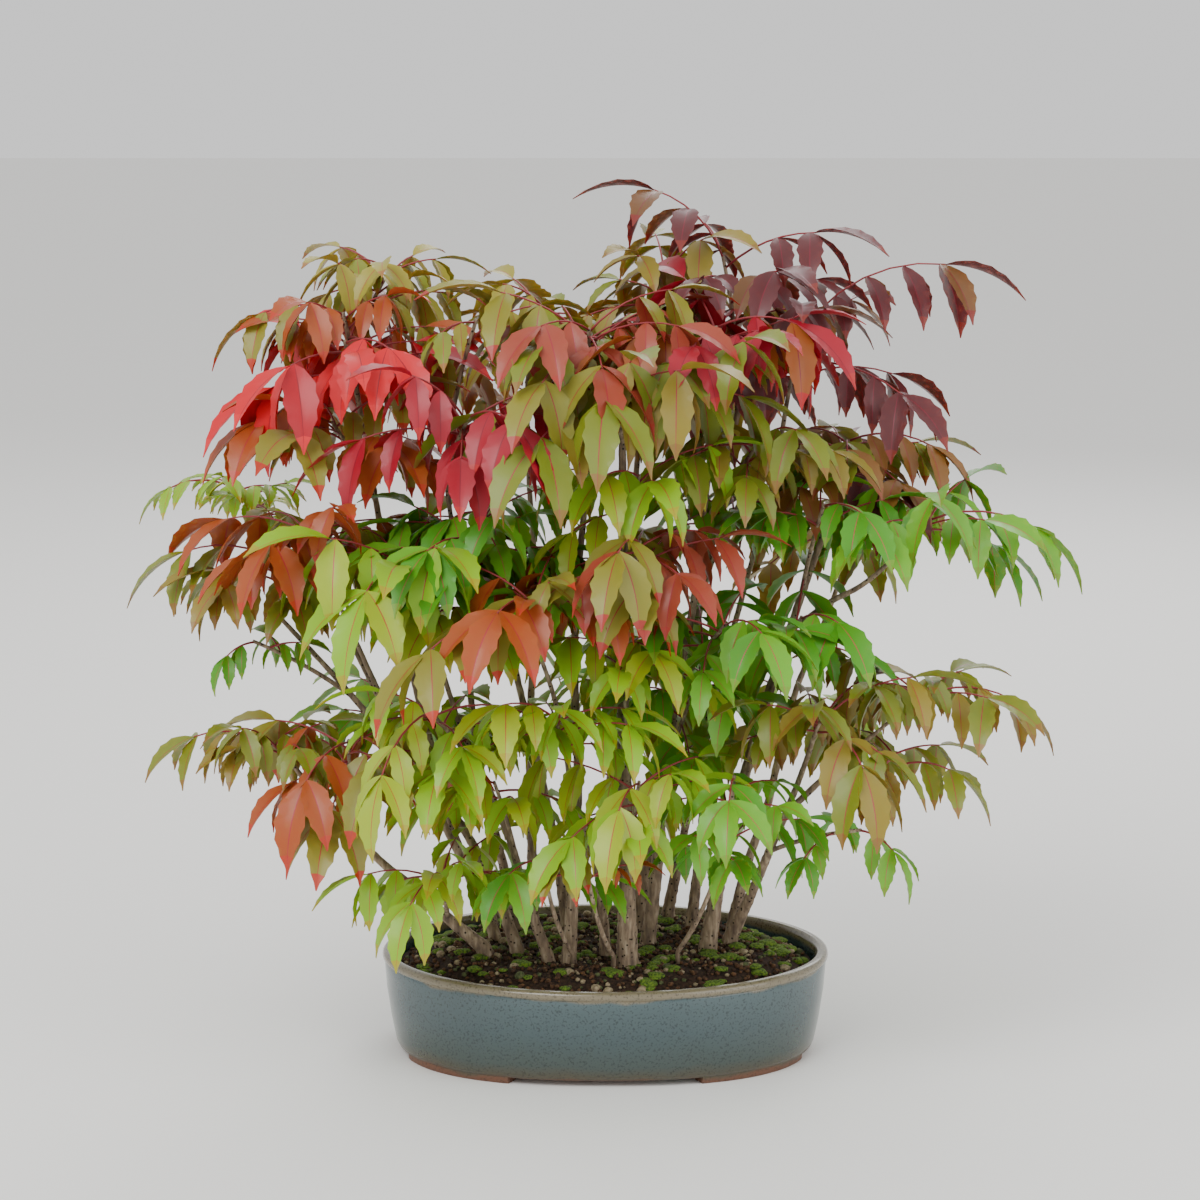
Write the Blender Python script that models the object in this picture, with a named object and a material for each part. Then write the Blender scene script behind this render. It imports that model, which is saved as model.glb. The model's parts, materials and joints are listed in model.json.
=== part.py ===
"""A clump of slender wax trees in autumn colour, growing in an oval glazed bonsai pot.

Sizes here are in millimetres, and each mesh is made in metres. +X runs along the pot, -Y is
the front, and the origin is at the middle of the pot's underside, on the surface it stands on.
"""

import math
import random
from collections import namedtuple

import bmesh
import bpy
from mathutils import Vector
from mathutils.bvhtree import BVHTree

MM = 0.001
UP = Vector((0.0, 0.0, 1.0))
GAP = 0.3  # left between any two solids

# Pot: an oval whose rings are set in from the rim's outer edge
RIM_HALF_LENGTH = 113.3
RIM_HALF_WIDTH = 85.0
POT_HEIGHT = 49.8
RIM_POWER = 2.0  # 2 is an ellipse, and more is squarer
FOOT_POWER = 2.4
LIP_WIDTH = 6.0
FOOT_HEIGHT = 3.2
FLOOR_HEIGHT = 9.5
FOOT_INSET = 7.9
FOOT_TAPER = 1.3
FOOT_BREADTH = 9.0
FOOT_SUNK = 2.0
FOOT_SPAN = (22.0, 67.0)  # degrees from the pot's long axis, in each quarter
DRAIN_RADIUS = 6.0
DRAIN_OFFSET = 48.0
POT_SIDES = 32

# Soil: fills the pot and mounds up to a flat crown that the stems stand on
SOIL_CROWN = 51.5
SOIL_EDGE = 42.5

# Stems
STEM_KNOTS = 6
TIP_TAPER = 0.42  # tip diameter over foot diameter
FLARE = 0.55  # extra radius at the foot, as a share of the radius
FLARE_HEIGHT = 7.0
FOOT_LIFT = 3.0  # upright length at the foot, which keeps the cut flat
WOBBLE = 2.6

# Shoots and leaves
SHOOT_FOOT_RADIUS = 1.5
SHOOT_TIP_RADIUS = 1.0
STALK_RADIUS = 1.0
STALK_TIP_RADIUS = 0.8
TWIG_SIDES = 3
GOLDEN_ANGLE = math.radians(137.5)
BLADE_WIDTH = 0.4  # of a blade's length, a little over life
BLADE_THICKNESS = 0.022  # of a blade's length
BLADE_WIDEST = 0.4  # along the blade
BLADE_FOLD = 0.3  # rise of a blade's edges over its half width
ROOT_SUNK = 0.1  # past the stalk's axis
PAIR_SPACING = 0.42  # between pairs of blades, over a blade's length
PETIOLE = 0.4  # bare stalk below the pairs, over a blade's length
TRIES = 9
CLEAR = 0.45  # kept between leaves, over and above their own size
CROWN_HALF = (238.0, 154.0)
CROWN_TOP = 444.0

# Each stem: foot on the soil, tip, foot diameter, and how late it leans (1 is a straight lean)
Stem = namedtuple("Stem", "name foot tip width lean")
STEMS = (
    Stem("stem_01", (-61, -22), (-150, -32, 145), 6.0, 0.9),
    Stem("stem_02", (-45, -18), (-162, -8, 221), 5.4, 1.4),
    Stem("stem_03", (-60, 34), (-127, 12, 351), 5.6, 0.7),
    Stem("stem_04", (-57, 8), (-154, 45, 245), 4.8, 1.1),
    Stem("stem_05", (-46, 26), (-78, -38, 298), 5.0, 0.8),
    Stem("stem_06", (-29, -34), (-90, -58, 235), 4.6, 1.0),
    Stem("stem_07", (-38, 49), (-40, 58, 333), 5.0, 0.9),
    Stem("stem_08", (-18, -36), (-8, -42, 345), 5.7, 1.0),
    Stem("stem_09", (0, -22), (-34, -82, 223), 4.5, 1.3),
    Stem("stem_10", (-3, 44), (20, 30, 347), 5.5, 1.0),
    Stem("stem_11", (11, -38), (8, -50, 313), 8.4, 1.0),
    Stem("stem_12", (17, 30), (66, 8, 323), 7.0, 1.2),
    Stem("stem_13", (33, 49), (88, 34, 295), 5.0, 1.1),
    Stem("stem_14", (22, 0), (54, -34, 325), 6.0, 1.0),
    Stem("stem_15", (45, 34), (34, 104, 295), 4.8, 1.2),
    Stem("stem_16", (52, -12), (116, 10, 279), 7.0, 1.2),
    Stem("stem_17", (64, 0), (100, -44, 161), 6.0, 1.0),
    Stem("stem_18", (66, 24), (126, 78, 235), 5.2, 1.2),
    Stem("stem_19", (-20, 30), (-80, 94, 313), 5.0, 1.2),
)

# Each bough: the stem it leaves, how far up, its tip and its foot diameter
Bough = namedtuple("Bough", "name parent at tip width")
BOUGHS = (
    Bough("bough_left", "stem_02", 0.62, (-142, -34, 257), 3.4),
    Bough("bough_right", "stem_16", 0.74, (153, -10, 257), 3.8),
    Bough("bough_low_right", "stem_17", 0.72, (146, -22, 175), 3.6),
)

# Each mass of leaves: what carries it and how far up, where its leaves burst, the tip of its
# longest leaf, a blade's length, pairs of blades, number of leaves, hang of the blades, tint
Mass = namedtuple("Mass", "name parent at burst tip blade pairs leaves hang tint")
MASSES = (
    Mass("spray_crest_plum", "stem_12", 1.0, (58, 10, 399), (-16, -6, 428), 42, 2, 2, 40, "plum"),
    Mass("spray_long_plum", "stem_13", 1.0, (98, 14, 362), (207, 0, 378), 44, 3, 2, 58, "plum"),
    Mass("spray_crest_olive", "stem_10", 1.0, (31, 25, 388), (76, -14, 402), 38, 2, 2, 40, "olive"),
    Mass("spray_crest_gold", "stem_07", 1.0, (-30, 48, 370), (-80, 26, 373), 34, 2, 2, 45, "gold"),
    Mass("spray_gold", "stem_03", 1.0, (-108, 30, 391), (-142, 0, 383), 34, 2, 2, 55, "gold"),
    Mass("spray_scarlet", "stem_03", 0.93, (-128, -14, 373), (-192, -20, 345), 38, 2, 2, 62, "rust"),
    Mass("spray_scarlet_front", "stem_03", 0.86, (-126, -34, 361), (-84, -80, 325), 54, 1, 3, 65, "scarlet"),
    Mass("spray_rust_left", "stem_03", 0.78, (-134, -18, 320), (-196, -34, 291), 42, 2, 2, 50, "rust"),
    Mass("spray_fine_left", "stem_04", 1.0, (-190, 36, 281), (-236, 26, 263), 24, 2, 2, 40, "lime"),
    Mass("spray_far_left", "stem_02", 1.0, (-164, -10, 251), (-237, -16, 227), 42, 2, 2, 55, "olive"),
    Mass("spray_rust_middle", "bough_left", 1.0, (-143, -42, 269), (-172, -92, 235), 42, 2, 2, 55, "rust"),
    Mass("spray_lime_left", "stem_06", 1.0, (-96, -64, 259), (-122, -116, 203), 52, 2, 2, 60, "lime"),
    Mass("spray_low_left", "stem_01", 1.0, (-164, -38, 163), (-226, -44, 145), 34, 2, 2, 55, "olive"),
    Mass("spray_rust_low", "stem_01", 0.75, (-124, -66, 171), (-150, -112, 117), 44, 2, 2, 60, "rust"),
    Mass("spray_lime_low", "stem_06", 0.55, (-84, -92, 191), (-108, -134, 127), 40, 2, 2, 55, "lime"),
    Mass("spray_rim_lime", "stem_01", 0.3, (-80, -76, 107), (-99, -116, 69), 34, 2, 2, 60, "lime"),
    Mass("spray_rose_crown", "stem_08", 1.0, (-8, -60, 369), (-50, -104, 345), 48, 2, 2, 60, "rose"),
    Mass("spray_olive_front", "stem_11", 1.0, (4, -78, 345), (-4, -140, 301), 54, 2, 2, 65, "olive"),
    Mass("spray_crimson_right", "stem_14", 1.0, (53, -44, 369), (118, -72, 341), 44, 2, 2, 60, "crimson"),
    Mass("spray_olive_right", "stem_14", 0.82, (78, -40, 316), (104, -88, 300), 40, 2, 2, 50, "olive"),
    Mass("spray_bronze_right", "stem_16", 1.0, (122, 18, 307), (184, 8, 277), 36, 2, 2, 50, "bronze"),
    Mass("spray_green_far_right", "bough_right", 1.0, (160, -14, 271), (235, -22, 235), 42, 2, 2, 55, "green"),
    Mass("spray_low_right", "bough_low_right", 1.0, (160, -22, 185), (222, -28, 155), 36, 2, 2, 55, "olive"),
    Mass("spray_olive_low_right", "stem_17", 1.0, (104, -60, 179), (128, -108, 125), 42, 2, 2, 55, "olive"),
    Mass("spray_toothed_green", "soil", (36, -36), (62, -72, 155), (56, -128, 123), 34, 2, 2, 50, "green"),
    Mass("spray_lime_front", "stem_11", 0.28, (16, -86, 155), (0, -136, 113), 42, 2, 2, 60, "lime"),
    Mass("spray_rust_front", "stem_09", 1.0, (-34, -98, 245), (-62, -153, 211), 48, 2, 2, 55, "rust"),
    Mass("spray_rose_front", "stem_11", 0.68, (16, -86, 271), (-2, -150, 239), 44, 2, 2, 58, "rose"),
    Mass("spray_green_left", "stem_05", 0.7, (-62, -62, 267), (-98, -116, 239), 40, 2, 2, 50, "green"),
    Mass("spray_green_right", "stem_14", 0.55, (58, -62, 227), (84, -122, 201), 40, 2, 2, 50, "green"),
    Mass("spray_maroon", "stem_05", 1.0, (-64, -74, 329), (-26, -132, 295), 46, 2, 2, 60, "crimson"),
    Mass("spray_lime_middle", "stem_09", 0.6, (-24, -92, 187), (-72, -134, 179), 38, 2, 2, 50, "lime"),
    Mass("spray_back_left", "stem_19", 1.0, (-86, 104, 339), (-122, 150, 313), 42, 2, 2, 50, "bronze"),
    Mass("spray_back", "stem_15", 1.0, (28, 116, 333), (44, 151, 311), 42, 2, 2, 50, "olive"),
    Mass("spray_back_right", "stem_18", 1.0, (130, 92, 263), (184, 140, 241), 40, 2, 2, 50, "olive"),
    Mass("spray_back_low", "stem_15", 0.5, (30, 104, 185), (4, 150, 159), 42, 2, 2, 50, "green"),
)

# Finishes: colour, roughness
FINISHES = {
    "glaze": ((0.10, 0.16, 0.18), 0.18),
    "soil": ((0.07, 0.045, 0.025), 0.95),
    "bark": ((0.30, 0.22, 0.16), 0.8),
    "plum": ((0.22, 0.07, 0.08), 0.45),
    "olive": ((0.26, 0.24, 0.06), 0.45),
    "gold": ((0.42, 0.30, 0.08), 0.45),
    "rust": ((0.45, 0.13, 0.06), 0.45),
    "scarlet": ((0.72, 0.04, 0.06), 0.45),
    "lime": ((0.38, 0.48, 0.07), 0.45),
    "rose": ((0.50, 0.14, 0.12), 0.45),
    "crimson": ((0.45, 0.04, 0.06), 0.45),
    "bronze": ((0.35, 0.18, 0.09), 0.45),
    "green": ((0.18, 0.33, 0.05), 0.45),
}


def clear_scene():
    for old in list(bpy.data.objects):
        bpy.data.objects.remove(old, do_unlink=True)


def make_finishes():
    made = {}
    for name, (colour, roughness) in FINISHES.items():
        finish = bpy.data.materials.new(name)
        finish.use_nodes = True
        shader = finish.node_tree.nodes["Principled BSDF"]
        shader.inputs["Base Color"].default_value = (*colour, 1.0)
        shader.inputs["Roughness"].default_value = roughness
        made[name] = finish
    return made


# Lofts

def loft(bm, rings):
    """Joins closed rings of points, in order, and caps the first and the last."""
    rows = [[bm.verts.new(point * MM) for point in ring] for ring in rings]
    for low, high in zip(rows, rows[1:]):
        for i, corner in enumerate(low):
            j = (i + 1) % len(low)
            bm.faces.new((corner, low[j], high[j], high[i]))
    bm.faces.new(rows[0][::-1])
    bm.faces.new(rows[-1])


def mesh_of(name, fill):
    """A mesh that the function fill builds, with its faces pointing out."""
    mesh = bpy.data.meshes.new(name)
    bm = bmesh.new()
    fill(bm)
    bmesh.ops.recalc_face_normals(bm, faces=bm.faces)
    bm.to_mesh(mesh)
    bm.free()
    return mesh


def add_object(mesh, collection, finish, sharp=None):
    made = bpy.data.objects.new(mesh.name, mesh)
    collection.objects.link(made)
    mesh.materials.append(finish)
    if sharp is not None:
        mesh.shade_smooth()
        mesh.set_sharp_from_angle(angle=math.radians(sharp))
    return made


def oval_point(inset, height, turn):
    """A point of the pot's oval, which is squarer low down, set in from the rim's outer edge."""
    power = 2.0 / (FOOT_POWER + (RIM_POWER - FOOT_POWER) * height / POT_HEIGHT)
    x = math.copysign(abs(math.cos(turn)) ** power, math.cos(turn))
    y = math.copysign(abs(math.sin(turn)) ** power, math.sin(turn))
    return Vector(((RIM_HALF_LENGTH - inset) * x, (RIM_HALF_WIDTH - inset) * y, height))


def oval(inset, height, sides=POT_SIDES):
    return [oval_point(inset, height, 2.0 * math.pi * i / sides) for i in range(sides)]


# Pot and soil

def pot_profile():
    """Insets and heights, from the underside up the wall, over the lip and down inside."""
    lip = POT_HEIGHT
    outside = [(8.2, FOOT_HEIGHT), (6.2, 7.5), (4.6, 16.0), (1.9, 32.0), (1.0, lip - 5.0)]
    rim = [(0.0, lip - 3.8), (0.2, lip - 1.4), (2.4, lip), (LIP_WIDTH - 0.6, lip - 0.8)]
    inside = [(LIP_WIDTH + 0.6, lip - 3.2), (9.0, 24.0), (12.0, 13.0), (17.0, FLOOR_HEIGHT)]
    return outside + rim + inside


def fill_pot(bm):
    loft(bm, [oval(inset, height) for inset, height in pot_profile()])


def fill_foot(bm, start, end):
    """One foot, a short length of an oval ring under the wall."""
    steps = 6
    sections = []
    for i in range(steps + 1):
        turn = math.radians(start + (end - start) * i / steps)
        section = []
        for inset, height in ((0, 0), (0, 1), (1, 1), (1, 0)):
            depth = FOOT_INSET + inset * FOOT_BREADTH + (1 - height) * (1 - inset) * FOOT_TAPER
            section.append(oval_point(depth, height * (FOOT_HEIGHT + FOOT_SUNK), turn))
        sections.append(section)
    loft(bm, sections)


def make_pot(collection, cutters, finish):
    pot = add_object(mesh_of("pot", fill_pot), collection, finish, sharp=50)
    for quarter in range(4):
        low, high = FOOT_SPAN
        start, end = (low, high) if quarter % 2 == 0 else (90 - high, 90 - low)
        start += 90 * quarter
        end += 90 * quarter
        foot_mesh = mesh_of(f"foot_{quarter}", lambda bm: fill_foot(bm, start, end))
        foot = add_object(foot_mesh, cutters, finish)
        join(pot, foot, "UNION")
    for side in (-1, 1):
        bpy.ops.mesh.primitive_cylinder_add(
            vertices=16,
            radius=DRAIN_RADIUS * MM,
            depth=2 * FLOOR_HEIGHT * MM,
            location=(side * DRAIN_OFFSET * MM, 0, 0.7 * FLOOR_HEIGHT * MM),
        )
        drain = bpy.context.object
        drain.name = f"drain_{side}"
        drain.users_collection[0].objects.unlink(drain)
        cutters.objects.link(drain)
        join(pot, drain, "DIFFERENCE")
    return pot


def join(body, other, operation):
    other.hide_render = True
    other.display_type = "WIRE"
    cut = body.modifiers.new(other.name, "BOOLEAN")
    cut.operation = operation
    cut.object = other
    cut.solver = "EXACT"


def fill_soil(bm):
    """Follows the pot's inner wall, the gap clear of it, and mounds up in the middle."""
    wall = [(17.6, FLOOR_HEIGHT + GAP), (12.6, 13.0 + GAP), (9.6, 24.0)]
    mound = [(8.0, SOIL_EDGE), (13.0, SOIL_EDGE + 4.6), (20.0, SOIL_CROWN - 1.0), (25.0, SOIL_CROWN)]
    loft(bm, [oval(inset, height) for inset, height in wall + mound])


# Shapes that grow

def arc(start, end, rise, steps):
    """Points on a bow from start to end that leaves start `rise` radians above the chord."""
    chord = end - start
    along = chord.normalized()
    side = along.cross(UP)
    if side.length < 1e-4:
        side = Vector((0.0, 1.0, 0.0))
    over = side.normalized().cross(along)
    radius = chord.length / (2.0 * math.sin(rise))
    points = []
    for i in range(steps + 1):
        angle = rise * (1.0 - 2.0 * i / steps)
        forward = radius * (math.sin(rise) - math.sin(angle))
        upward = radius * (math.cos(angle) - math.cos(rise))
        points.append(start + along * forward + over * upward)
    return points


def tube(points, radii, sides):
    """Corners and faces of a tapering limb through the points, with capped ends."""
    corners, faces = [], []
    lead = Vector((1.0, 0.0, 0.0))
    for i, point in enumerate(points):
        ahead = points[min(i + 1, len(points) - 1)] - points[max(i - 1, 0)]
        across = ahead.cross(lead).normalized()
        if across.length < 0.5:
            across = ahead.cross(UP).normalized()
        over = across.cross(ahead).normalized()
        lead = over
        for k in range(sides):
            turn = 2.0 * math.pi * k / sides
            corners.append(point + (across * math.cos(turn) + over * math.sin(turn)) * radii[i])
    for i in range(len(points) - 1):
        for k in range(sides):
            a = i * sides + k
            b = i * sides + (k + 1) % sides
            faces.append((a, b, b + sides, a + sides))
    faces.append(tuple(range(sides))[::-1])
    faces.append(tuple(range(len(corners) - sides, len(corners))))
    return corners, faces


def blade(root, tip, rise, roll, width, thickness, spare):
    """A folded leaf blade of eight faces. `spare` is added all round for a test of its room."""
    middle = arc(root, tip, rise, 10)[round(10 * BLADE_WIDEST)]
    along = (tip - root).normalized()
    across = along.cross(UP).normalized()
    over = across.cross(along)
    turned = across * math.cos(roll) + over * math.sin(roll)
    face = turned.cross(along).normalized()
    half = 0.5 * width + spare
    lift = face * (BLADE_FOLD * 0.5 * width)
    depth = face * (0.5 * thickness + spare)
    corners = [
        root,
        tip + along * spare,
        middle - turned * half + lift,
        middle + turned * half + lift,
        middle + depth,
        middle - depth,
    ]
    faces = []
    for end in (0, 1):
        faces += [(end, 2, 4), (end, 4, 3), (end, 3, 5), (end, 5, 2)]
    return corners, faces


class Room:
    """The space already taken. Each solid is kept as a search tree with its box."""

    def __init__(self):
        self.taken = []

    def add(self, owner, solid):
        corners, faces = solid
        self.taken.append((owner, *box_of(corners), BVHTree.FromPolygons(corners, faces)))

    def meets(self, solid, apart_from=None):
        """The owner of what this solid would touch, or None."""
        corners, faces = solid
        low, high = box_of(corners)
        if high.z > CROWN_TOP or any(max(-low[i], high[i]) > CROWN_HALF[i] for i in (0, 1)):
            return "crown"
        tree = None
        for owner, other_low, other_high, other in self.taken:
            if owner == apart_from:
                continue
            if any(low[i] > other_high[i] or high[i] < other_low[i] for i in range(3)):
                continue
            tree = tree or BVHTree.FromPolygons(corners, faces)
            if tree.overlap(other):
                return owner
        return None


def box_of(corners):
    low = Vector([min(corner[i] for corner in corners) for i in range(3)])
    high = Vector([max(corner[i] for corner in corners) for i in range(3)])
    return low, high


def rings_solid(rings):
    """Corners and faces of the skin through level rings, open at both ends."""
    sides = len(rings[0])
    corners = [corner for ring in rings for corner in ring]
    faces = []
    for i in range((len(rings) - 1) * sides):
        j = i + 1 if (i + 1) % sides else i + 1 - sides
        faces.append((i, j, j + sides, i + sides))
    return corners, faces


# Stems and boughs

def course(start, tip, lean, upright, name, attempt):
    """Points of a limb from start to tip: it leans, bows and wavers, as it has grown."""
    dice = random.Random(f"{name} {attempt}")
    heading = dice.uniform(0.0, 2.0 * math.pi)
    bow = dice.uniform(-1.0, 1.0) * (3.0 + 1.5 * attempt)
    phase = dice.uniform(0.0, 2.0 * math.pi)
    sway = Vector((math.cos(heading), math.sin(heading), 0.0))
    cross = Vector((-sway.y, sway.x, 0.0))
    points = [start.copy()]
    if upright:
        start = start + UP * FOOT_LIFT
        points.append(start)
    for i in range(1, STEM_KNOTS + 1):
        t = i / STEM_KNOTS
        shift = (tip - start) * t
        eased = t**lean
        shift.x = (tip.x - start.x) * eased
        shift.y = (tip.y - start.y) * eased
        swing = math.sin(math.pi * t)
        waver = WOBBLE * math.sin(phase + 9.0 * t) * swing
        points.append(start + shift + sway * bow * swing + cross * waver)
    return points


def limb_radii(points, width, flare):
    total = sum((b - a).length for a, b in zip(points, points[1:]))
    radii = []
    gone = 0.0
    for i, point in enumerate(points):
        if i:
            gone += (point - points[i - 1]).length
        radius = 0.5 * width * (1.0 - (1.0 - TIP_TAPER) * gone / total)
        radii.append(radius * (1.0 + flare * math.exp(-gone / FLARE_HEIGHT)))
    return radii


def make_limb(name, points, radii, collection, finish):
    """A curve with a round bevel that tapers, and filled ends."""
    curve = bpy.data.curves.new(name, "CURVE")
    curve.dimensions = "3D"
    curve.bevel_depth = MM
    curve.bevel_resolution = 1
    curve.use_fill_caps = True
    spline = curve.splines.new("POLY")
    spline.points.add(len(points) - 1)
    for knot, point, radius in zip(spline.points, points, radii):
        knot.co = (*(point * MM), 1.0)
        knot.radius = radius
    limb = bpy.data.objects.new(name, curve)
    limb.data.materials.append(finish)
    collection.objects.link(limb)
    return limb


def along(points, share):
    """The place a share of the way up a limb, its direction there and its place in the list."""
    place = share * (len(points) - 1)
    i = min(int(place), len(points) - 2)
    step = points[i + 1] - points[i]
    return points[i] + step * (place - i), step.normalized(), place


def leaving(limb, share, towards, radius):
    """Where a shoot starts: the gap clear of a limb's end or side, on the way it then grows."""
    points, radii = limb
    place, direction, index = along(points, share)
    heading = (towards - place).normalized()
    if share >= 1.0:
        return place + direction * (GAP + radius * direction.cross(heading).length)
    thick = radii[int(index)]
    slant = max(heading.cross(direction).length, 0.35)
    return place + heading * ((thick + GAP) / slant + radius * abs(heading.dot(direction)) / slant)


def grow_limbs(room):
    """The points and radii of every stem and bough, each kept clear of those before it."""
    limbs = {}
    for stem in STEMS:
        start = Vector((*stem.foot, SOIL_CROWN + GAP))
        for attempt in range(TRIES * 4):
            points = course(start, Vector(stem.tip), stem.lean, True, stem.name, attempt)
            radii = limb_radii(points, stem.width, FLARE)
            if not room.meets(tube(points, [r * 1.2 + CLEAR for r in radii], 6)):
                break
        else:
            print("no room for", stem.name)
        room.add(stem.name, tube(points, [r * 1.15 for r in radii], 6))
        limbs[stem.name] = (points, radii)
    for bough in BOUGHS:
        tip = Vector(bough.tip)
        start = leaving(limbs[bough.parent], bough.at, tip, 0.5 * bough.width)
        for attempt in range(TRIES * 4):
            points = course(start, tip, 1.0, False, bough.name, attempt)
            radii = limb_radii(points, bough.width, 0.0)
            if not room.meets(tube(points, [r * 1.05 + 0.1 for r in radii], 6)):
                break
        else:
            print("no room for", bough.name)
        room.add(bough.name, tube(points, [r * 1.15 for r in radii], 6))
        limbs[bough.name] = (points, radii)
    return limbs


# Leaves

Leaf = namedtuple("Leaf", "start end rise blade pairs hang seed")


def leaf_solids(leaf, spare):
    """A leaf's stalk, then its blades in opposite pairs and one at the end."""
    dice = random.Random(leaf.seed)
    chord = (leaf.end - leaf.start).length
    length = chord * leaf.rise / math.sin(leaf.rise)
    size = min(leaf.blade, 0.55 * length)
    line = arc(leaf.start, leaf.end, leaf.rise, 20)
    reach = 1.0 - size / length
    stalk = [along(line, reach * share)[0] for share in (0.0, 0.5, 1.0)]
    taper = [STALK_RADIUS + spare, STALK_RADIUS + spare, STALK_TIP_RADIUS + spare]
    solids = [tube(stalk, taper, TWIG_SIDES)]
    width = BLADE_WIDTH * size
    thick = max(BLADE_THICKNESS * size, 0.7)
    tip_root, ahead, _ = along(line, reach)
    root = tip_root - ahead * ROOT_SUNK
    solids.append(
        blade(root, leaf.end, 0.3, dice.uniform(-0.4, 0.4), width, thick, spare)
    )
    for pair in range(leaf.pairs):
        place, ahead, _ = along(line, reach - (0.06 + PAIR_SPACING * pair) * size / length)
        side = ahead.cross(UP).normalized()
        for hand in (-1.0, 1.0):
            splay = math.radians(dice.uniform(48.0, 66.0))
            heading = ahead * math.cos(splay) + side * hand * math.sin(splay)
            heading.z = 0.0
            heading.normalize()
            hang = math.radians(leaf.hang + dice.uniform(-14.0, 14.0))
            length_here = size * dice.uniform(0.82, 1.0) * (1.0 - 0.12 * pair)
            drop = heading * math.cos(hang) - UP * math.sin(hang)
            tip = place + drop * length_here
            roll = hand * dice.uniform(-0.1, 0.5)
            root = place - drop * ROOT_SUNK
            solids.append(blade(root, tip, 0.3, roll, width, thick, spare))
    return solids


def leaf_plan(mass, shoot, number, attempt):
    """The first leaf ends at the mass's tip. The others turn round the shoot by the golden angle."""
    burst = Vector(mass.burst)
    if number == 0:
        start = along(shoot, 0.98)[0]
        rise = math.radians(50.0 - 4.0 * (attempt % 4))
        return Leaf(start, Vector(mass.tip), rise, mass.blade, mass.pairs, mass.hang, f"{mass.name} {attempt}")
    dice = random.Random(f"{mass.name} {number} {attempt}")
    out = Vector(mass.tip) - burst
    bearing = math.atan2(out.y, out.x) + GOLDEN_ANGLE * number + 0.4 * attempt * (-1) ** attempt
    start = along(shoot, 0.96 - 0.55 * number / (mass.leaves + 1.0))[0]
    size = mass.blade * dice.uniform(0.82, 1.02)
    length = size * (1.0 + PETIOLE + PAIR_SPACING * mass.pairs) * dice.uniform(0.85, 1.0)
    slope = math.radians(dice.uniform(-28.0, 16.0))
    chord = Vector((math.cos(bearing), math.sin(bearing), 0.0)) * math.cos(slope) + UP * math.sin(slope)
    rise = math.radians(dice.uniform(26.0, 42.0))
    return Leaf(start, start + chord * length, rise, size, mass.pairs, mass.hang, f"{mass.name} {number} {attempt}")


def place_leaf(mass, shoot, number, room):
    """The solids of the leaf that fits best of several tries, without any blade that meets another."""
    best = []
    for attempt in range(TRIES):
        plan = leaf_plan(mass, shoot, number, attempt)
        solids = leaf_solids(plan, 0.0)
        wide = leaf_solids(plan, CLEAR)
        if room.meets(wide[0], mass.name):
            continue
        kept = [solids[0]] + [exact for exact, test in zip(solids[1:], wide[1:]) if not room.meets(test)]
        if len(kept) > len(best):
            best = kept
        if len(best) == len(solids):
            break
    return best if len(best) > 3 or number == 0 else []


def grow_shoot(mass, limbs, room):
    """The points of a mass's own stem, which bows a little more at each try until it is clear."""
    burst = Vector(mass.burst)
    for attempt in range(TRIES * 2):
        bow = (0.12 + 0.08 * attempt) * (-1) ** attempt
        if mass.parent == "soil":
            start = Vector((*mass.at, SOIL_CROWN + GAP))
            line = [start, start + UP * FOOT_LIFT] + arc(start + UP * 2 * FOOT_LIFT, burst, -0.2 - bow, 4)
        else:
            start = leaving(limbs[mass.parent], mass.at, burst, SHOOT_FOOT_RADIUS)
            line = arc(start, burst, bow, 4)
        share = [i / (len(line) - 1) for i in range(len(line))]
        radii = [SHOOT_FOOT_RADIUS + (SHOOT_TIP_RADIUS - SHOOT_FOOT_RADIUS) * s for s in share]
        shoot = tube(line, radii, TWIG_SIDES)
        met = room.meets(tube(line, [r + 0.1 for r in radii], TWIG_SIDES))
        if not met:
            break
    else:
        print(mass.name, "meets", met)
    room.add(mass.name, shoot)
    return line, shoot


def grow_masses(limbs, room):
    """Every mass's solids, shoot first. All shoots come before leaves, and each mass's longest leaf
    before any other, so that the crown's outline is always whole."""
    shoots = {mass.name: grow_shoot(mass, limbs, room) for mass in MASSES}
    grown = {mass.name: [shoots[mass.name][1]] for mass in MASSES}
    for number in range(max(mass.leaves for mass in MASSES)):
        for mass in MASSES:
            if number >= mass.leaves:
                continue
            leaf = place_leaf(mass, shoots[mass.name][0], number, room)
            if len(leaf) < 2 + 2 * mass.pairs:
                print(mass.name, number, "kept", len(leaf) - 1)
            for solid in leaf:
                room.add(mass.name, solid)
            grown[mass.name] += leaf
    return grown


def solid_mesh(name, solid):
    corners, faces = solid
    mesh = bpy.data.meshes.new(name)
    mesh.from_pydata([corner * MM for corner in corners], [], faces)
    bm = bmesh.new()
    bm.from_mesh(mesh)
    bmesh.ops.triangulate(bm, faces=bm.faces)
    bmesh.ops.recalc_face_normals(bm, faces=bm.faces)
    bm.to_mesh(mesh)
    bm.free()
    return mesh


def keep_main_body(mesh):
    """Drops loose scraps, keeping the largest body. Faces are in one body where they share an edge."""
    bm = bmesh.new()
    bm.from_mesh(mesh)
    left = set(bm.faces)
    bodies = []
    while left:
        edge_of_body = [left.pop()]
        body = set(edge_of_body)
        while edge_of_body:
            for seam in edge_of_body.pop().edges:
                for face in seam.link_faces:
                    if face not in body:
                        body.add(face)
                        edge_of_body.append(face)
        left -= body
        bodies.append(body)
    bodies.sort(key=len)
    loose = [face for body in bodies[:-1] for face in body]
    bmesh.ops.delete(bm, geom=loose, context="FACES")
    bm.to_mesh(mesh)
    bm.free()
    return len(bodies) - 1


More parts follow.
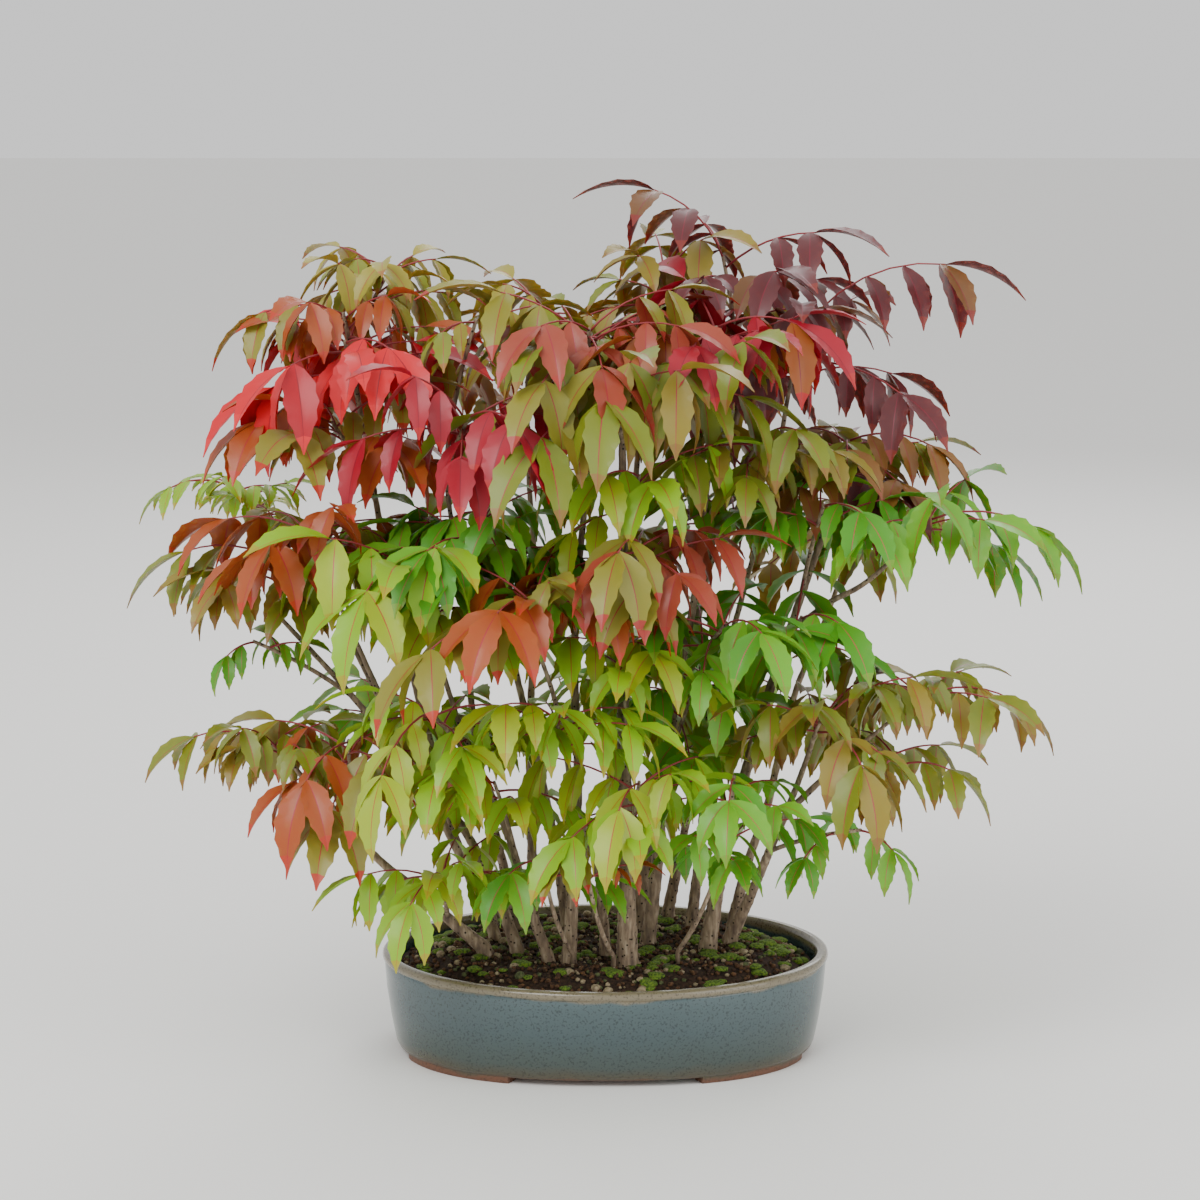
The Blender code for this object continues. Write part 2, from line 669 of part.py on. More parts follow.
def join_mass(mass, solids, collection, finish):
    """One union of the shoot with all its stalks and blades, applied."""
    parts = bpy.data.collections.new(f"{mass.name}_parts")
    bpy.context.scene.collection.children.link(parts)
    for i, solid in enumerate(solids[1:]):
        add_object(solid_mesh(f"{mass.name}_{i}", solid), parts, finish)
    body = add_object(solid_mesh(mass.name, solids[0]), collection, finish)
    union = body.modifiers.new("union", "BOOLEAN")
    union.operation = "UNION"
    union.operand_type = "COLLECTION"
    union.collection = parts
    union.solver = "MANIFOLD"
    bpy.context.view_layer.update()
    graph = bpy.context.evaluated_depsgraph_get()
    joined = bpy.data.meshes.new_from_object(body.evaluated_get(graph))
    body.modifiers.remove(union)
    body.data = joined
    for part in list(parts.objects):
        bpy.data.objects.remove(part, do_unlink=True)
    bpy.data.collections.remove(parts)
    scraps = keep_main_body(joined)
    if scraps:
        print(mass.name, "dropped", scraps)
    return body


def main():
    clear_scene()
    finishes = make_finishes()
    tree = bpy.data.collections.new("wax_tree_bonsai")
    cutters = bpy.data.collections.new("cutters")
    for group in (tree, cutters):
        bpy.context.scene.collection.children.link(group)
    cutters.hide_render = True

    make_pot(tree, cutters, finishes["glaze"])
    add_object(mesh_of("soil", fill_soil), tree, finishes["soil"], sharp=40)

    room = Room()
    room.add("pot", rings_solid([oval(inset, height, 24) for inset, height in pot_profile()]))
    limbs = grow_limbs(room)
    grown = grow_masses(limbs, room)
    for name, (points, radii) in limbs.items():
        make_limb(name, points, radii, tree, finishes["bark"])
    for mass in MASSES:
        join_mass(mass, grown[mass.name], tree, finishes[mass.tint])


main()
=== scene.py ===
"""The looks of a wax tree bonsai: glazed pot, mossy granular soil, bark and autumn leaves.

Lengths are in millimetres until a mesh is made, and -Y is the front. The limbs' courses come
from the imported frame. Leaves grow on from them by a rule like the solids', and are more in number.
"""

import json
import logging
import math
import random
from collections.abc import Sequence
from dataclasses import dataclass, field
from enum import Enum, IntEnum
from typing import Any, NamedTuple

import bpy
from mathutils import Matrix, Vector, noise

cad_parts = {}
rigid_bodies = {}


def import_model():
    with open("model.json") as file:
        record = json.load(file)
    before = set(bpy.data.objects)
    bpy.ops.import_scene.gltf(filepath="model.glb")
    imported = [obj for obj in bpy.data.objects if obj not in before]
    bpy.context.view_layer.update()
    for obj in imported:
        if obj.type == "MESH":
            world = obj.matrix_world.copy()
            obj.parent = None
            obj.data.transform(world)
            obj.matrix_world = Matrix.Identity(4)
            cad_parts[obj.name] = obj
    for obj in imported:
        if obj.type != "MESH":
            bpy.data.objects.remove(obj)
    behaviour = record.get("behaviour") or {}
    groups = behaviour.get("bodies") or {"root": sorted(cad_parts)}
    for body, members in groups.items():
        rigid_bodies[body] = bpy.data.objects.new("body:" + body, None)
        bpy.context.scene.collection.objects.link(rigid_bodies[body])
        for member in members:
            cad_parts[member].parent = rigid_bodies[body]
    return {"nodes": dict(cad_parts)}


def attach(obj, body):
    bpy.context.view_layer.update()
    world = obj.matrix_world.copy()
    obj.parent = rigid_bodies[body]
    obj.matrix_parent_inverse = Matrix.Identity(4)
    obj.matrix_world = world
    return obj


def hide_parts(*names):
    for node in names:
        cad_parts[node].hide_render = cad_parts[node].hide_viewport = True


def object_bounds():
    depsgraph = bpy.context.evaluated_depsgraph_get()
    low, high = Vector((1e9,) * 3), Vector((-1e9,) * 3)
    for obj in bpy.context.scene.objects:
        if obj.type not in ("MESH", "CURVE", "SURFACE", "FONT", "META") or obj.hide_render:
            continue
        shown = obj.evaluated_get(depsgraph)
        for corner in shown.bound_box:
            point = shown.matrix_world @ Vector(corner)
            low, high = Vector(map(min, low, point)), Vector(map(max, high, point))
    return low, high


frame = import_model()
CAD_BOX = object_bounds()

LOG = logging.getLogger("bonsai")
MM = 0.001
UP = Vector((0.0, 0.0, 1.0))
BODY = "root"
GOLDEN_ANGLE = math.radians(137.5)
COAT_ROUGHNESS = 0.12
LIGHT_DEPTH_MM = 2.0  # how far light spreads inside a leaf
BUMP_STRENGTH = 0.8
SWELLS_PER_MM = 0.45  # how closely a limb's surface swells and sinks

# Sockets of a Mix node that mixes colours
MIX_SHARE, MIX_FIRST, MIX_SECOND, MIX_RESULT = 0, 6, 7, 2

Solid = tuple[list[Vector], list[tuple[int, ...]]]
Stops = tuple[tuple[float, str], ...]


def linear(code: str) -> tuple[float, float, float, float]:
    """Turns an sRGB hex colour into linear values.

    Args:
        code: Six hex digits.

    Returns:
        Red, green, blue and alpha.
    """
    shares = [int(code[i : i + 2], 16) / 255.0 for i in (0, 2, 4)]
    return (*[s / 12.92 if s <= 0.04045 else ((s + 0.055) / 1.055) ** 2.4 for s in shares], 1.0)


def add_node(tree: bpy.types.NodeTree, kind: str, inputs: dict[Any, Any], **settings: Any) -> bpy.types.Node:
    """Adds a node with its settings, and fills or links its inputs.

    Args:
        tree: The material's node tree.
        kind: The node's type.
        inputs: Input name or number, with a value or a socket to link from.
        **settings: Properties of the node itself.

    Returns:
        The new node.
    """
    made = tree.nodes.new(kind)
    for name, value in settings.items():
        setattr(made, name, value)
    for key, value in inputs.items():
        if isinstance(value, bpy.types.NodeSocket):
            tree.links.new(value, made.inputs[key])
        else:
            made.inputs[key].default_value = value
    return made


def fill_ramp(ramp: bpy.types.Node, stops: Sequence[tuple[float, str]]) -> None:
    """Gives a colour ramp its stops.

    Args:
        ramp: A colour ramp node.
        stops: Place and hex colour of each stop.
    """
    elements = ramp.color_ramp.elements
    while len(elements) < len(stops):
        elements.new(1.0)
    for element, (place, code) in zip(elements, stops):
        element.position = place
        element.color = linear(code)


@dataclass(frozen=True)
class Finish:
    """A plain finish. Its values are set on the shader's own sockets."""

    name: str
    colour: str
    roughness: float
    ior: float = 1.45
    coat: float = 0.0
    soft_light: float = 0.0

    def material(self) -> bpy.types.Material:
        """Makes the material, or returns the one already made.

        Returns:
            The material, named for the finish.
        """
        found = bpy.data.materials.get(self.name)
        if found:
            return found
        made = bpy.data.materials.new(self.name)
        made.use_nodes = True
        made.diffuse_color = linear(self.colour)
        shader = made.node_tree.nodes["Principled BSDF"]
        shader.inputs["Base Color"].default_value = linear(self.colour)
        shader.inputs["Roughness"].default_value = self.roughness
        shader.inputs["IOR"].default_value = self.ior
        shader.inputs["Coat Weight"].default_value = self.coat
        shader.inputs["Coat Roughness"].default_value = COAT_ROUGHNESS
        shader.inputs["Subsurface Weight"].default_value = self.soft_light
        shader.inputs["Subsurface Scale"].default_value = LIGHT_DEPTH_MM * MM
        self.pattern(made.node_tree, shader)
        return made

    def pattern(self, tree: bpy.types.NodeTree, shader: bpy.types.Node) -> None:
        """Adds nothing: a plain finish has no pattern."""

    def bump(
        self, tree: bpy.types.NodeTree, shader: bpy.types.Node, height: bpy.types.NodeSocket, depth_mm: float
    ) -> None:
        """Links a height to the shader's normal.

        Args:
            tree: The node tree.
            shader: The principled shader.
            height: The socket that gives the height.
            depth_mm: The depth of the relief.
        """
        inputs = {"Height": height, "Distance": depth_mm * MM, "Strength": BUMP_STRENGTH}
        made = add_node(tree, "ShaderNodeBump", inputs)
        tree.links.new(made.outputs["Normal"], shader.inputs["Normal"])


@dataclass(frozen=True)
class Glaze(Finish):
    """Stoneware glaze: blue-grey with fine speckles, thin and olive low down, bare clay at the foot.

    The wall's colours stand at shares of the pot's height, which the clouds raise a little.
    """

    height_mm: float = 49.8
    speckle_mm: float = 1.1
    cloud_mm: float = 26.0
    cloud_rise: float = 0.16
    speckle_share: float = 0.55
    relief_mm: float = 0.35
    bare_to_glazed: tuple[float, float] = (0.13, 0.2)
    rough_to_glossy: tuple[float, float] = (0.8, 0.2)
    wall: Stops = (
        (0.13, "6b4632"), (0.17, "4a4330"), (0.3, "3b4743"),
        (0.62, "3d4e51"), (0.97, "46585b"), (1.0, "7a705a"),
    )
    specks: Stops = ((0.34, "5a5a5a"), (0.46, "ffffff"), (0.66, "ffffff"))

    def pattern(self, tree: bpy.types.NodeTree, shader: bpy.types.Node) -> None:
        """Colours the wall by height, broken up by clouds, with speckles over it.

        Args:
            tree: The node tree.
            shader: The principled shader.
        """
        place = add_node(tree, "ShaderNodeTexCoord", {}).outputs["Object"]
        axes = add_node(tree, "ShaderNodeSeparateXYZ", {"Vector": place})
        scale = 1.0 / (self.cloud_mm * MM)
        cloud = add_node(tree, "ShaderNodeTexNoise", {"Vector": place, "Scale": scale, "Detail": 5.0})
        inputs = {0: axes.outputs["Z"], 1: 1.0 / (self.height_mm * MM)}
        share = add_node(tree, "ShaderNodeMath", inputs, operation="MULTIPLY")
        inputs = {0: cloud.outputs["Fac"], 1: self.cloud_rise}
        rise = add_node(tree, "ShaderNodeMath", inputs, operation="MULTIPLY")
        inputs = {0: share.outputs[0], 1: rise.outputs[0]}
        level = add_node(tree, "ShaderNodeMath", inputs, operation="ADD")
        wall = add_node(tree, "ShaderNodeValToRGB", {"Fac": level.outputs[0]})
        fill_ramp(wall, self.wall)
        scale = 1.0 / (self.speckle_mm * MM)
        speck = add_node(tree, "ShaderNodeTexNoise", {"Vector": place, "Scale": scale, "Detail": 2.0})
        dots = add_node(tree, "ShaderNodeValToRGB", {"Fac": speck.outputs["Fac"]})
        fill_ramp(dots, self.specks)
        inputs = {
            MIX_SHARE: self.speckle_share,
            MIX_FIRST: wall.outputs["Color"],
            MIX_SECOND: dots.outputs["Color"],
        }
        mixed = add_node(tree, "ShaderNodeMix", inputs, data_type="RGBA", blend_type="MULTIPLY")
        tree.links.new(mixed.outputs[MIX_RESULT], shader.inputs["Base Color"])
        inputs = {
            "Value": level.outputs[0],
            "From Min": self.bare_to_glazed[0],
            "From Max": self.bare_to_glazed[1],
            "To Min": self.rough_to_glossy[0],
            "To Max": self.rough_to_glossy[1],
        }
        shine = add_node(tree, "ShaderNodeMapRange", inputs)
        tree.links.new(shine.outputs["Result"], shader.inputs["Roughness"])
        self.bump(tree, shader, cloud.outputs["Fac"], self.relief_mm)


@dataclass(frozen=True)
class Bark(Finish):
    """Thin matt bark, grey-brown in long streaks, with dark breathing pores."""

    light: str = "b8a48c"
    dark: str = "66554a"
    pore: str = "2b211b"
    streak_mm: float = 2.2
    stretch: tuple[float, float, float] = (1.0, 1.0, 0.22)
    shades: tuple[float, float, float] = (0.3, 0.52, 0.7)
    pore_mm: float = 2.6
    pore_edge: tuple[float, float] = (0.16, 0.26)
    relief_mm: float = 0.25

    def pattern(self, tree: bpy.types.NodeTree, shader: bpy.types.Node) -> None:
        """Streaks stretched along the limbs, and dots for the pores.

        Args:
            tree: The node tree.
            shader: The principled shader.
        """
        place = add_node(tree, "ShaderNodeTexCoord", {}).outputs["Object"]
        stretched = add_node(tree, "ShaderNodeMapping", {"Vector": place, "Scale": self.stretch})
        inputs = {"Vector": stretched.outputs[0], "Scale": 1.0 / (self.streak_mm * MM), "Detail": 6.0}
        streak = add_node(tree, "ShaderNodeTexNoise", inputs)
        colour = add_node(tree, "ShaderNodeValToRGB", {"Fac": streak.outputs["Fac"]})
        fill_ramp(colour, tuple(zip(self.shades, (self.dark, self.colour, self.light))))
        inputs = {"Vector": place, "Scale": 1.0 / (self.pore_mm * MM)}
        cell = add_node(tree, "ShaderNodeTexVoronoi", inputs)
        low, high = self.pore_edge
        inputs = {"Value": cell.outputs["Distance"], "From Min": low, "From Max": high}
        dot = add_node(tree, "ShaderNodeMapRange", inputs)
        inputs = {
            MIX_SHARE: dot.outputs["Result"],
            MIX_FIRST: linear(self.pore),
            MIX_SECOND: colour.outputs["Color"],
        }
        mixed = add_node(tree, "ShaderNodeMix", inputs, data_type="RGBA")
        tree.links.new(mixed.outputs[MIX_RESULT], shader.inputs["Base Color"])
        self.bump(tree, shader, streak.outputs["Fac"], self.relief_mm)


@dataclass(frozen=True)
class Earthy(Finish):
    """A rough natural surface of two colours in grains of a real size."""

    other: str = "000000"
    grain_mm: float = 1.5
    relief_mm: float = 0.4
    shades: tuple[float, float] = (0.36, 0.62)

    def pattern(self, tree: bpy.types.NodeTree, shader: bpy.types.Node) -> None:
        """Grains of both colours, and their relief.

        Args:
            tree: The node tree.
            shader: The principled shader.
        """
        place = add_node(tree, "ShaderNodeTexCoord", {}).outputs["Object"]
        scale = 1.0 / (self.grain_mm * MM)
        grain = add_node(tree, "ShaderNodeTexNoise", {"Vector": place, "Scale": scale, "Detail": 7.0})
        colour = add_node(tree, "ShaderNodeValToRGB", {"Fac": grain.outputs["Fac"]})
        fill_ramp(colour, tuple(zip(self.shades, (self.other, self.colour))))
        tree.links.new(colour.outputs["Color"], shader.inputs["Base Color"])
        self.bump(tree, shader, grain.outputs["Fac"], self.relief_mm)


# Glossy oval stoneware: the glaze pools blue-grey and breaks to brown clay
GLAZE = Glaze("stoneware_glaze", "3d565d", 0.2, ior=1.52, coat=0.25)
# Bark of a young wax tree: matt, finely streaked
BARK = Bark("young_bark", "917c66", 0.82)
# Granules: damp dark volcanic clay, with some paler pumice and some green with algae
GRANULE_FINISHES = (
    Earthy("akadama_dark", "4a3324", 0.95, other="2a1c14"),
    Earthy("akadama_mid", "6b4a31", 0.95, other="3d2a1d"),
    Earthy("pumice_beige", "a8977a", 0.9, other="75664f"),
    Earthy("algae_granule", "5f6540", 0.9, other="3a3f26"),
)
# Cushion moss: soft and bright where it is young
MOSS = Earthy("cushion_moss", "6f8a2c", 1.0, other="33481a", grain_mm=1.0, relief_mm=0.9)
# Fine wet earth between the granules: matt and nearly black
SOIL = Earthy("damp_soil", "3f2c20", 1.0, other="20150f")


class Patch(IntEnum):
    """The material slots of a blade, in the order of its tint's finishes."""

    BODY = 0
    TURNING = 1
    TIP = 2
    MIDRIB = 3


class Tint(Enum):
    """Autumn tints: two blade colours, the colour of the drawn-out tips, and the midrib's."""

    PLUM = ("5a2528", "6e4a28", "7a2c24", "7a1f30")
    OLIVE = ("748020", "8a7a28", "84682a", "a02a3a")
    GOLD = ("98902c", "7f8828", "986a28", "a83038")
    RUST = ("a04a1c", "84802a", "b0361c", "a02030")
    SCARLET = ("d00c1c", "b00c20", "d8242a", "8c1020")
    LIME = ("86b418", "9cb024", "a09c20", "b04438")
    ROSE = ("98402c", "84802a", "a03428", "982030")
    CRIMSON = ("a01428", "98501e", "b02020", "7c1024")
    BRONZE = ("865a24", "788426", "8c4a22", "982838")
    GREEN = ("4a9418", "66a820", "6c9822", "a83844")

    def finishes(self) -> list[Finish]:
        """The finishes of a blade, waxy and slightly see-through as a thin leaf is.

        Returns:
            One finish for each patch, in the patches' order.
        """
        parts = ("blade", "blade_turning", "tip", "midrib")
        return [
            Finish(f"wax_leaf_{self.name.lower()}_{part}", code, roughness=0.42, coat=0.08, soft_light=0.12)
            for part, code in zip(parts, self.value)
        ]


# Leaf stalks: smooth and crimson
STALK = Finish("crimson_stalk", "8f2f34", 0.45)


def piece_of(
    name: str, solid: Solid, finishes: Sequence[Finish], marks: Sequence[int] = ()
) -> bpy.types.Object:
    """Makes a piece from corners in millimetres, riding on the body.

    Args:
        name: The piece's name.
        solid: Its corners and faces.
        finishes: One finish for each material slot.
        marks: The slot of each face, if there are several.

    Returns:
        The new object, at the origin.
    """
    mesh = bpy.data.meshes.new(name)
    mesh.from_pydata([corner * MM for corner in solid[0]], [], solid[1])
    for finish in finishes:
        mesh.materials.append(finish.material())
    if marks:
        mesh.polygons.foreach_set("material_index", marks)
    mesh.validate()
    made = bpy.data.objects.new(name, mesh)
    bpy.context.scene.collection.objects.link(made)
    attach(made, BODY)
    LOG.info("%s: %d faces", name, len(mesh.polygons))
    return made


def finish_by_hand(piece: bpy.types.Object, angle: float) -> None:
    """Turns a piece's faces outwards and shades it smooth up to an angle.

    Args:
        piece: The piece.
        angle: The widest angle that is still shaded smooth, in degrees.
    """
    bpy.ops.object.select_all(action="DESELECT")
    piece.select_set(True)
    bpy.context.view_layer.objects.active = piece
    bpy.ops.object.mode_set(mode="EDIT")
    bpy.ops.mesh.select_all(action="SELECT")
    bpy.ops.mesh.normals_make_consistent(inside=False)
    bpy.ops.object.mode_set(mode="OBJECT")
    bpy.ops.object.shade_smooth_by_angle(angle=math.radians(angle))
    bpy.ops.object.select_all(action="DESELECT")


def add_solid(total: Solid, solid: Solid) -> None:
    """Adds one solid's corners and faces to another's.

    Args:
        total: The solid that grows.
        solid: The solid that is added to it.
    """
    start = len(total[0])
    total[0].extend(solid[0])
    total[1].extend(tuple(i + start for i in face) for face in solid[1])


def skin(rings: Sequence[Sequence[Vector]]) -> Solid:
    """The closed skin through rings of points.

    Args:
        rings: The rings, each with as many points.

    Returns:
        Corners and faces.
    """
    sides = len(rings[0])
    faces: list[tuple[int, ...]] = []
    for i in range(len(rings) - 1):
        for k in range(sides):
            a, b = i * sides + k, i * sides + (k + 1) % sides
            faces.append((a, b, b + sides, a + sides))
    faces.append(tuple(range(sides))[::-1])
    faces.append(tuple(range((len(rings) - 1) * sides, len(rings) * sides)))
    return [corner for ring in rings for corner in ring], faces


def arc(start: Vector, end: Vector, rise: float, steps: int) -> list[Vector]:
    """Points on a bow that leaves its start above the chord.

    Args:
        start: The first point.
        end: The last point.
        rise: The angle over the chord at the start, in radians.
        steps: How many steps there are.

    Returns:
        The points, one more than the steps.
    """
    chord = end - start
    ahead = chord.normalized()
    side = ahead.cross(UP)
    side = side.normalized() if side.length > 1e-4 else Vector((0.0, 1.0, 0.0))
    over = side.cross(ahead)
    radius = chord.length / (2.0 * math.sin(rise))
    points = []
    for i in range(steps + 1):
        angle = rise * (1.0 - 2.0 * i / steps)
        forward = radius * (math.sin(rise) - math.sin(angle))
        points.append(start + ahead * forward + over * radius * (math.cos(angle) - math.cos(rise)))
    return points


def tube(points: Sequence[Vector], radii: Sequence[float], sides: int, relief: float = 0.0) -> Solid:
    """A tapering limb through points, with capped ends.

    Args:
        points: Its middle line.
        radii: Its radius at each point.
        sides: How many sides it has.
        relief: How far its surface swells and sinks, as a share of the radius.

    Returns:
        Corners and faces.
    """
    rings = []
    lead = Vector((1.0, 0.0, 0.0))
    for i, point in enumerate(points):
        ahead = (points[min(i + 1, len(points) - 1)] - points[max(i - 1, 0)]).normalized()
        across = ahead.cross(lead)
        across = across.normalized() if across.length > 0.1 else ahead.cross(UP).normalized()
        lead = across.cross(ahead).normalized()
        ring = []
        for k in range(sides):
            turn = 2.0 * math.pi * k / sides
            out = across * math.cos(turn) + lead * math.sin(turn)
            swell = 1.0 + relief * noise.noise((point + out * radii[i]) * SWELLS_PER_MM)
            ring.append(point + out * radii[i] * swell)
        rings.append(ring)
    return skin(rings)


def along(points: Sequence[Vector], share: float) -> tuple[Vector, Vector]:
    """Finds a place on a line of points.

    Args:
        points: The line.
        share: How far along it the place is, from 0 to 1.

    Returns:
        The place, and the direction there.
    """
    place = share * (len(points) - 1)
    i = min(int(place), len(points) - 2)
    step = points[i + 1] - points[i]
    return points[i] + step * (place - i), step.normalized()


@dataclass
class Pot:
    """The oval pot, its lip and its four feet."""

    half_length: float = 113.3
    half_width: float = 85.0
    height: float = 49.8
    rim_power: float = 2.0
    foot_power: float = 2.4
    foot_height: float = 3.2
    foot_span: tuple[float, float] = (22.0, 67.0)
    foot_steps: int = 20
    sides: int = 160
    smooth_to: float = 50.0

    def oval_point(self, inset: float, height: float, turn: float) -> Vector:
        """Finds a point of the oval, which is squarer low down.

        Args:
            inset: How far it is set in from the rim's outer edge.
            height: Its height.
            turn: The angle from the pot's long axis, in radians.

        Returns:
            The point.
        """
        power = 2.0 / (self.foot_power + (self.rim_power - self.foot_power) * height / self.height)
        x = math.copysign(abs(math.cos(turn)) ** power, math.cos(turn))
        y = math.copysign(abs(math.sin(turn)) ** power, math.sin(turn))
        return Vector(((self.half_length - inset) * x, (self.half_width - inset) * y, height))

    def oval(self, inset: float, height: float) -> list[Vector]:
        """A ring of the oval."""
        return [self.oval_point(inset, height, 2.0 * math.pi * i / self.sides) for i in range(self.sides)]

    def profile(self) -> list[tuple[float, float]]:
        """Insets and heights up the wall, round the rolled lip and down inside.

        Returns:
            The pot's section, from its underside to its floor.
        """
        top = self.height
        low_wall = [(8.8, self.foot_height), (7.6, 4.0), (6.7, 6.0), (5.6, 11.0)]
        high_wall = [(4.4, 17.0), (3.3, 24.0), (2.2, 31.0)]
        groove = [(1.4, top - 9.0), (1.1, top - 5.6), (1.3, top - 4.6), (0.9, top - 4.1)]
        outer_lip = [(0.15, top - 3.4), (0.0, top - 2.4), (0.25, top - 1.2), (1.0, top - 0.4), (2.2, top)]
        inner_lip = [(3.8, top), (5.0, top - 0.5), (5.8, top - 1.5), (6.3, top - 3.0)]
        inside = [(7.2, top - 8.0), (9.0, 24.0), (12.0, 13.0), (17.0, 9.5)]
        return low_wall + high_wall + groove + outer_lip + inner_lip + inside

    def foot(self, quarter: int) -> Solid:
        """One foot, a short length of an oval ring under the wall.

        Args:
            quarter: The quarter of the oval that it stands in, from 0 to 3.

        Returns:
            Corners and faces.
        """
        low, high = self.foot_span
        start, end = (low, high) if quarter % 2 == 0 else (90 - high, 90 - low)
        section = ((9.3, 0.0), (8.4, 1.2), (7.9, 5.4), (16.6, 5.4), (16.6, 0.0))
        rings = []
        for i in range(self.foot_steps + 1):
            turn = math.radians(90 * quarter + start + (end - start) * i / self.foot_steps)
            rings.append([self.oval_point(inset, height, turn) for inset, height in section])
        return skin(rings)

    def build(self) -> None:
        """Makes the pot and its feet as one glazed piece."""
        total = skin([self.oval(inset, height) for inset, height in self.profile()])
        for quarter in range(4):
            add_solid(total, self.foot(quarter))
        piece = piece_of("pot_glazed", total, [GLAZE])
        finish_by_hand(piece, self.smooth_to)
        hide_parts("pot")


@dataclass(frozen=True)
class Lumps:
    """A kind of lump on the soil. Its width and height are shares of its radius."""

    name: str
    count: int
    radii: tuple[float, float]
    detail: int
    width: float
    height: float
    finishes: tuple[Finish, ...]
    odds: tuple[int, ...]
    roughness: float = 0.3
    dents: float = 1.3
    apart: float = 50.0

    def model(self) -> Solid:
        """Takes the shape of an icosphere of radius 1.

        Returns:
            Corners and faces.
        """
        bpy.ops.object.select_all(action="DESELECT")
        bpy.ops.mesh.primitive_ico_sphere_add(subdivisions=self.detail, radius=1.0)
        ball = bpy.context.object
        corners = [v.co.copy() for v in ball.data.vertices]
        faces = [tuple(p.vertices) for p in ball.data.polygons]
        bpy.data.objects.remove(ball, do_unlink=True)
        return corners, faces


LUMPS = (
    Lumps("soil_granules", 3000, (0.8, 1.8), 1, 0.9, 0.75, GRANULE_FINISHES, (6, 6, 2, 1)),
    Lumps("soil_pebbles", 70, (1.8, 3.2), 2, 0.9, 0.7, GRANULE_FINISHES[2:], (3, 1)),
    Lumps("soil_moss", 190, (2.0, 5.0), 3, 1.0, 0.42, (MOSS,), (1,)),
)


@dataclass
class Soil:
    """The mound, its granules, pebbles and moss."""

    pot: Pot
    edge: float = 42.5
    crown: float = 51.2
    edge_inset: float = 8.4
    shoulder: float = 0.26
    skirt: float = 14.0
    sides: int = 120
    rings: int = 40
    uneven: float = 0.7
    swells_per_mm: float = 0.35
    lowered: float = 0.6
    spread: float = 0.985
    smooth_to: float = 60.0

    def height(self, share: float) -> float:
        """The mound's height at a share of the way out from the middle."""
        slope = min(max((1.0 - share) / self.shoulder, 0.0), 1.0)
        return self.edge + (self.crown - self.edge) * slope * slope * (3.0 - 2.0 * slope)

    def place(self, share: float, turn: float) -> Vector:
        """Finds a point on the mound.

        Args:
            share: How far out from the middle it is, from 0 to 1.
            turn: The angle from the pot's long axis, in radians.

        Returns:
            The point.
        """
        x = (self.pot.half_length - self.edge_inset) * share * math.cos(turn)
        y = (self.pot.half_width - self.edge_inset) * share * math.sin(turn)
        return Vector((x, y, self.height(share)))

    def ring(self, share: float) -> list[Vector]:
        """A ring of the mound, a share of the way out from the middle."""
        return [self.place(share, 2 * math.pi * k / self.sides) for k in range(self.sides)]

    def build(self) -> None:
        """Makes every piece of the soil."""
        rings = [[point - UP * self.skirt for point in self.ring(1.0)]]
        for i in range(self.rings):
            ring = []
            for point in self.ring(1.0 - i / self.rings):
                swell = self.uneven * noise.noise(point * self.swells_per_mm)
                ring.append(point + UP * (swell - self.lowered))
            rings.append(ring)
        mound = piece_of("soil_mound", skin(rings), [SOIL])
        finish_by_hand(mound, self.smooth_to)
        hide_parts("soil")
        for lumps in LUMPS:
            self.scatter(lumps)

    def scatter(self, lumps: Lumps) -> None:
        """Scatters lumps over the mound, joined into one piece.

        Args:
            lumps: The kind of lump.
        """
        corners, faces = lumps.model()
        dice = random.Random(lumps.name)
        total: Solid = ([], [])
        marks: list[int] = []
        for _ in range(lumps.count):
            share = math.sqrt(dice.random()) * self.spread
            spot = self.place(share, dice.uniform(0.0, 2.0 * math.pi))
            size = dice.uniform(*lumps.radii)
            far = 1.0 - size / (self.pot.half_width - self.edge_inset)
            if share > far:
                turn = math.atan2(spot.y / self.pot.half_width, spot.x / self.pot.half_length)
                spot = self.place(far, turn)
            offset = Vector((dice.random(), dice.random(), dice.random())) * lumps.apart
            lump = []
            for corner in corners:
                rough = 1.0 + lumps.roughness * noise.noise(corner * lumps.dents + offset)
                shaped = Vector((corner.x * lumps.width, corner.y * lumps.width, corner.z * lumps.height))
                lump.append(spot + shaped * size * rough)
            add_solid(total, (lump, faces))
            marks += [dice.choices(range(len(lumps.finishes)), lumps.odds)[0]] * len(faces)
        piece = piece_of(lumps.name, total, lumps.finishes, marks)
        finish_by_hand(piece, self.smooth_to)


